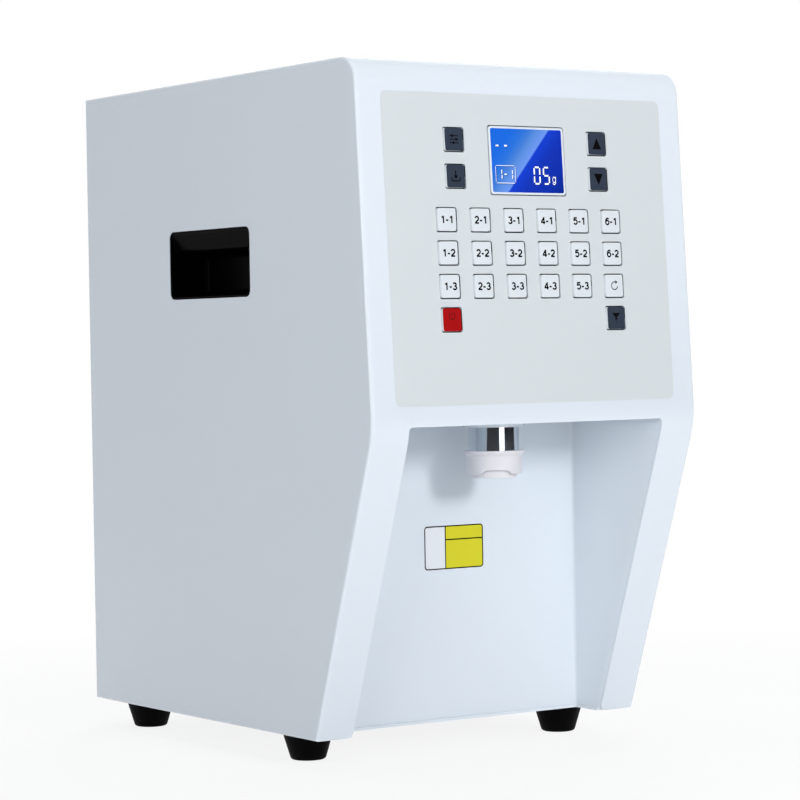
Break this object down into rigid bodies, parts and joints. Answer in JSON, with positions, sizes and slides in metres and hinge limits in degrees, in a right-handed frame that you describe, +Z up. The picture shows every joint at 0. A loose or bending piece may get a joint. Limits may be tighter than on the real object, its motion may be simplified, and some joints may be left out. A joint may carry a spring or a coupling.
{
  "type": "powder dosing dispenser",
  "caption": "Counter-top powder dispenser: painted cabinet with keypad and display, open cup bay, outlet nozzle, side handles, and a lidded hopper fed by a geared auger.",
  "frame": {"origin": "on the floor, under the middle of the cabinet's width and depth", "axes": "+Z up, +X to the right seen from the front, the keypad front faces -Y"},
  "size_m": [0.26, 0.372, 0.455],
  "materials": {
    "painted_steel": "gloss powder coat",
    "zinc_steel": "zinc plated",
    "rubber_foot": "moulded",
    "gloss_black": "moulded gloss",
    "overlay_grey": "fine matte film",
    "rim_white": "moulded gloss",
    "display_blue": "clear window over a blue display",
    "board_green": "solder mask",
    "switch_black": "moulded",
    "hopper_white": "moulded",
    "gear_acetal": "moulded",
    "bush_bronze": "sintered",
    "motor_metal": "plated can",
    "supply_case": "perforated sheet",
    "polished_steel": "mirror polished stainless",
    "nozzle_white": "moulded",
    "key_white": "moulded, printed",
    "key_slate": "moulded, printed",
    "key_red": "moulded, printed"
  },
  "bodies": {
    "cabinet": {"base_plate": "painted_steel", "left_side_panel": "painted_steel", "right_side_panel": "painted_steel", "front_fascia": "painted_steel", "bay_liner": "painted_steel", "deck_plate": "painted_steel", "top_panel": "painted_steel", "rear_panel": "painted_steel", "panel_screws": "zinc_steel", "lid_hinge_brackets": "zinc_steel", "lid_hinge_pins": "zinc_steel", "hopper_brackets": "zinc_steel", "display_module": "zinc_steel", "feet": "rubber_foot", "left_handle": "gloss_black", "right_handle": "gloss_black", "control_overlay": "overlay_grey", "display_bezel": "rim_white", "display_window": "display_blue", "control_board": "board_green", "tact_switches": "switch_black", "power_inlet": "switch_black", "hopper": "hopper_white", "auger_barrel": "hopper_white", "shaft_bushes": "bush_bronze", "gear_motor": "motor_metal", "power_supply": "supply_case", "outlet_tube": "polished_steel", "outlet_nozzle": "nozzle_white"},
    "lid": {"lid": "painted_steel"},
    "auger": {"auger_screw": "hopper_white", "auger_shaft": "zinc_steel", "auger_gear": "gear_acetal"},
    "agitator": {"agitator": "zinc_steel", "agitator_gear": "gear_acetal"},
    "power_rocker": {"power_rocker": "switch_black"},
    "key_1_1": {"key_1_1": "key_white"},
    "key_2_1": {"key_2_1": "key_white"},
    "key_3_1": {"key_3_1": "key_white"},
    "key_4_1": {"key_4_1": "key_white"},
    "key_5_1": {"key_5_1": "key_white"},
    "key_6_1": {"key_6_1": "key_white"},
    "key_1_2": {"key_1_2": "key_white"},
    "key_2_2": {"key_2_2": "key_white"},
    "key_3_2": {"key_3_2": "key_white"},
    "key_4_2": {"key_4_2": "key_white"},
    "key_5_2": {"key_5_2": "key_white"},
    "key_6_2": {"key_6_2": "key_white"},
    "key_1_3": {"key_1_3": "key_white"},
    "key_2_3": {"key_2_3": "key_white"},
    "key_3_3": {"key_3_3": "key_white"},
    "key_4_3": {"key_4_3": "key_white"},
    "key_5_3": {"key_5_3": "key_white"},
    "key_clear": {"key_clear": "key_white"},
    "key_power": {"key_power": "key_red"},
    "key_feed": {"key_feed": "key_slate"},
    "key_set": {"key_set": "key_slate"},
    "key_save": {"key_save": "key_slate"},
    "key_up": {"key_up": "key_slate"},
    "key_down": {"key_down": "key_slate"}
  },
  "joints": [
    {"name": "lid_hinge", "type": "hinge", "parent": "cabinet", "child": "lid", "pos_m": [0, 0.1143, 0.452], "axis": [-1, 0, 0], "range_deg": [0, 100]},
    {"name": "auger_spin", "type": "hinge", "parent": "cabinet", "child": "auger", "pos_m": [0, 0, 0.2505], "axis": [0, 1, 0], "continuous": true},
    {"name": "agitator_spin", "type": "hinge", "parent": "cabinet", "child": "agitator", "pos_m": [0, 0, 0.3105], "axis": [0, 1, 0], "continuous": true},
    {"name": "rocker_tilt", "type": "hinge", "parent": "cabinet", "child": "power_rocker", "pos_m": [-0.07, 0.1805, 0.0845], "axis": [0, 0, 1], "range_deg": [0, 12]},
    {"name": "key_1_1_press", "type": "slide", "parent": "cabinet", "child": "key_1_1", "axis": [0, 0.998, -0.0628], "range_m": [0, 0.0008], "stiffness_N_per_m": 2000},
    {"name": "key_2_1_press", "type": "slide", "parent": "cabinet", "child": "key_2_1", "axis": [0, 0.998, -0.0628], "range_m": [0, 0.0008], "stiffness_N_per_m": 2000},
    {"name": "key_3_1_press", "type": "slide", "parent": "cabinet", "child": "key_3_1", "axis": [0, 0.998, -0.0628], "range_m": [0, 0.0008], "stiffness_N_per_m": 2000},
    {"name": "key_4_1_press", "type": "slide", "parent": "cabinet", "child": "key_4_1", "axis": [0, 0.998, -0.0628], "range_m": [0, 0.0008], "stiffness_N_per_m": 2000},
    {"name": "key_5_1_press", "type": "slide", "parent": "cabinet", "child": "key_5_1", "axis": [0, 0.998, -0.0628], "range_m": [0, 0.0008], "stiffness_N_per_m": 2000},
    {"name": "key_6_1_press", "type": "slide", "parent": "cabinet", "child": "key_6_1", "axis": [0, 0.998, -0.0628], "range_m": [0, 0.0008], "stiffness_N_per_m": 2000},
    {"name": "key_1_2_press", "type": "slide", "parent": "cabinet", "child": "key_1_2", "axis": [0, 0.998, -0.0628], "range_m": [0, 0.0008], "stiffness_N_per_m": 2000},
    {"name": "key_2_2_press", "type": "slide", "parent": "cabinet", "child": "key_2_2", "axis": [0, 0.998, -0.0628], "range_m": [0, 0.0008], "stiffness_N_per_m": 2000},
    {"name": "key_3_2_press", "type": "slide", "parent": "cabinet", "child": "key_3_2", "axis": [0, 0.998, -0.0628], "range_m": [0, 0.0008], "stiffness_N_per_m": 2000},
    {"name": "key_4_2_press", "type": "slide", "parent": "cabinet", "child": "key_4_2", "axis": [0, 0.998, -0.0628], "range_m": [0, 0.0008], "stiffness_N_per_m": 2000},
    {"name": "key_5_2_press", "type": "slide", "parent": "cabinet", "child": "key_5_2", "axis": [0, 0.998, -0.0628], "range_m": [0, 0.0008], "stiffness_N_per_m": 2000},
    {"name": "key_6_2_press", "type": "slide", "parent": "cabinet", "child": "key_6_2", "axis": [0, 0.998, -0.0628], "range_m": [0, 0.0008], "stiffness_N_per_m": 2000},
    {"name": "key_1_3_press", "type": "slide", "parent": "cabinet", "child": "key_1_3", "axis": [0, 0.998, -0.0628], "range_m": [0, 0.0008], "stiffness_N_per_m": 2000},
    {"name": "key_2_3_press", "type": "slide", "parent": "cabinet", "child": "key_2_3", "axis": [0, 0.998, -0.0628], "range_m": [0, 0.0008], "stiffness_N_per_m": 2000},
    {"name": "key_3_3_press", "type": "slide", "parent": "cabinet", "child": "key_3_3", "axis": [0, 0.998, -0.0628], "range_m": [0, 0.0008], "stiffness_N_per_m": 2000},
    {"name": "key_4_3_press", "type": "slide", "parent": "cabinet", "child": "key_4_3", "axis": [0, 0.998, -0.0628], "range_m": [0, 0.0008], "stiffness_N_per_m": 2000},
    {"name": "key_5_3_press", "type": "slide", "parent": "cabinet", "child": "key_5_3", "axis": [0, 0.998, -0.0628], "range_m": [0, 0.0008], "stiffness_N_per_m": 2000},
    {"name": "key_clear_press", "type": "slide", "parent": "cabinet", "child": "key_clear", "axis": [0, 0.998, -0.0628], "range_m": [0, 0.0008], "stiffness_N_per_m": 2000},
    {"name": "key_power_press", "type": "slide", "parent": "cabinet", "child": "key_power", "axis": [0, 0.998, -0.0628], "range_m": [0, 0.0008], "stiffness_N_per_m": 2000},
    {"name": "key_feed_press", "type": "slide", "parent": "cabinet", "child": "key_feed", "axis": [0, 0.998, -0.0628], "range_m": [0, 0.0008], "stiffness_N_per_m": 2000},
    {"name": "key_set_press", "type": "slide", "parent": "cabinet", "child": "key_set", "axis": [0, 0.998, -0.0628], "range_m": [0, 0.0008], "stiffness_N_per_m": 2000},
    {"name": "key_save_press", "type": "slide", "parent": "cabinet", "child": "key_save", "axis": [0, 0.998, -0.0628], "range_m": [0, 0.0008], "stiffness_N_per_m": 2000},
    {"name": "key_up_press", "type": "slide", "parent": "cabinet", "child": "key_up", "axis": [0, 0.998, -0.0628], "range_m": [0, 0.0008], "stiffness_N_per_m": 2000},
    {"name": "key_down_press", "type": "slide", "parent": "cabinet", "child": "key_down", "axis": [0, 0.998, -0.0628], "range_m": [0, 0.0008], "stiffness_N_per_m": 2000}
  ],
  "couplings": [
    {"joint": "agitator_spin", "follows": "auger_spin", "ratio": -0.5}
  ]
}
